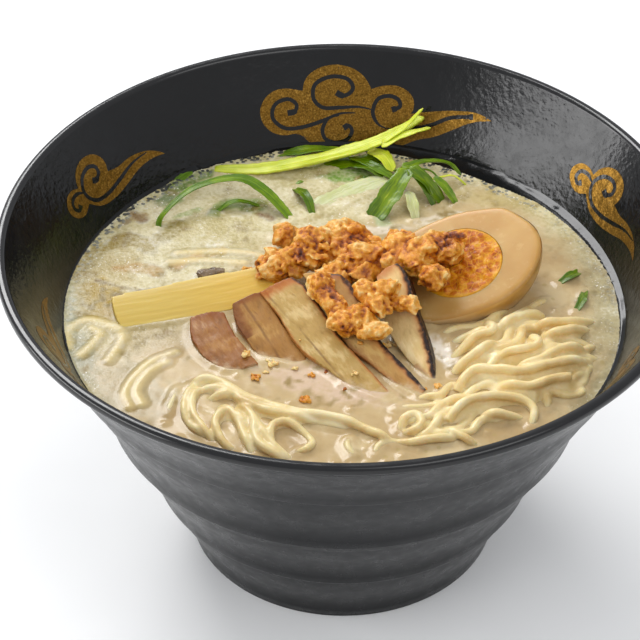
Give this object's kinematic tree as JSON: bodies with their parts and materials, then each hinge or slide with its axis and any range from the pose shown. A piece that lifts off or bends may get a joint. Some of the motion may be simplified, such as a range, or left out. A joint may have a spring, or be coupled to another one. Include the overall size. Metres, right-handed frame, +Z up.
{
  "type": "ramen bowl",
  "caption": "Deep tiered bowl filled with creamy noodle soup, topped with sliced pork, half a marinated egg, bamboo shoot, fried crumbs and spring onion.",
  "frame": {"origin": "centre of the bowl's foot, on the surface it stands on", "axes": "+Z up along the bowl's axis, -Y towards the eater, +X to the eater's right"},
  "size_m": [0.2, 0.2, 0.109],
  "materials": {
    "melamine": "satin charcoal melamine outside, gloss black inside",
    "broth": "wet, opaque, creamy",
    "noodle": "wet and slightly translucent",
    "pork": "moist fibrous meat with a browned edge",
    "egg_white": "smooth, stained by the marinade",
    "yolk": "half set, glossy",
    "bamboo": "wet and fibrous",
    "crumb": "fried, rough, a little oily",
    "onion": "waxy leaf",
    "onion_pale": "waxy pale stalk",
    "mushroom": "wet and soft"
  },
  "bodies": {
    "root": {"bowl": "melamine", "broth": "broth", "noodles": "noodle", "pork_slice_1": "pork", "pork_slice_2": "pork", "pork_slice_3": "pork", "pork_slice_4": "pork", "pork_slice_5": "pork", "egg_white": "egg_white", "egg_yolk": "yolk", "bamboo_shoot": "bamboo", "mushroom": "mushroom", "crumbs_heap": "crumb", "crumbs_clump_left": "crumb", "crumbs_clump_right": "crumb", "onion_stalk": "onion_pale", "onion_blade": "onion", "onion_arch": "onion", "onion_arch_small": "onion", "onion_leaf": "onion", "onion_fold_left": "onion", "onion_fold_right": "onion", "onion_fold_inner": "onion_pale", "onion_curl": "onion", "onion_short": "onion", "onion_tip": "onion", "onion_bit": "onion", "onion_bit_near": "onion"}
  },
  "joints": []
}
